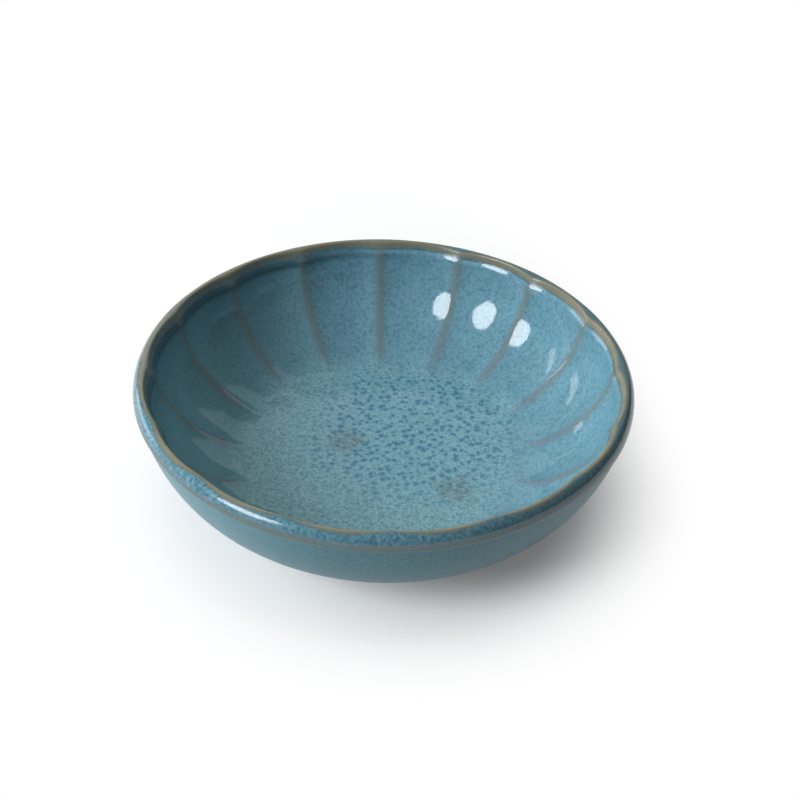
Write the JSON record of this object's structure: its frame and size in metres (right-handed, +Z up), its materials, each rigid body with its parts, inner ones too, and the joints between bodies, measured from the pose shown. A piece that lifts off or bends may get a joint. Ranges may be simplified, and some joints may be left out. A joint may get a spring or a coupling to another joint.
{
  "type": "soy sauce dish",
  "caption": "Shallow round stoneware dish with a fluted inside, a rolled lip and a turned foot ring, coated in teal glaze that breaks brown at the edges, for soy sauce and other condiments.",
  "frame": {"origin": "middle of the foot ring, on the table", "axes": "+Z up along the dish's axis, with one ridge between two flutes on +X"},
  "size_m": [0.11, 0.11, 0.03],
  "materials": {
    "bare_stoneware": "fired clay, matte on the foot, thinly glazed on the rim and lip lines",
    "inner_teal_glaze": "glossy teal reactive glaze with blue blotches on the floor and brown breaks on the ridges",
    "lip_blue_glaze": "glossy mottled blue glaze, pooled thick on the lip",
    "outer_teal_glaze": "glossy plain teal glaze with faint speckle",
    "base_teal_glaze": "glossy plain teal glaze with faint speckle"
  },
  "bodies": {
    "root": {"stoneware_body": "bare_stoneware", "inner_glaze": "inner_teal_glaze", "lip_glaze": "lip_blue_glaze", "outer_glaze": "outer_teal_glaze", "base_glaze": "base_teal_glaze"}
  },
  "joints": []
}
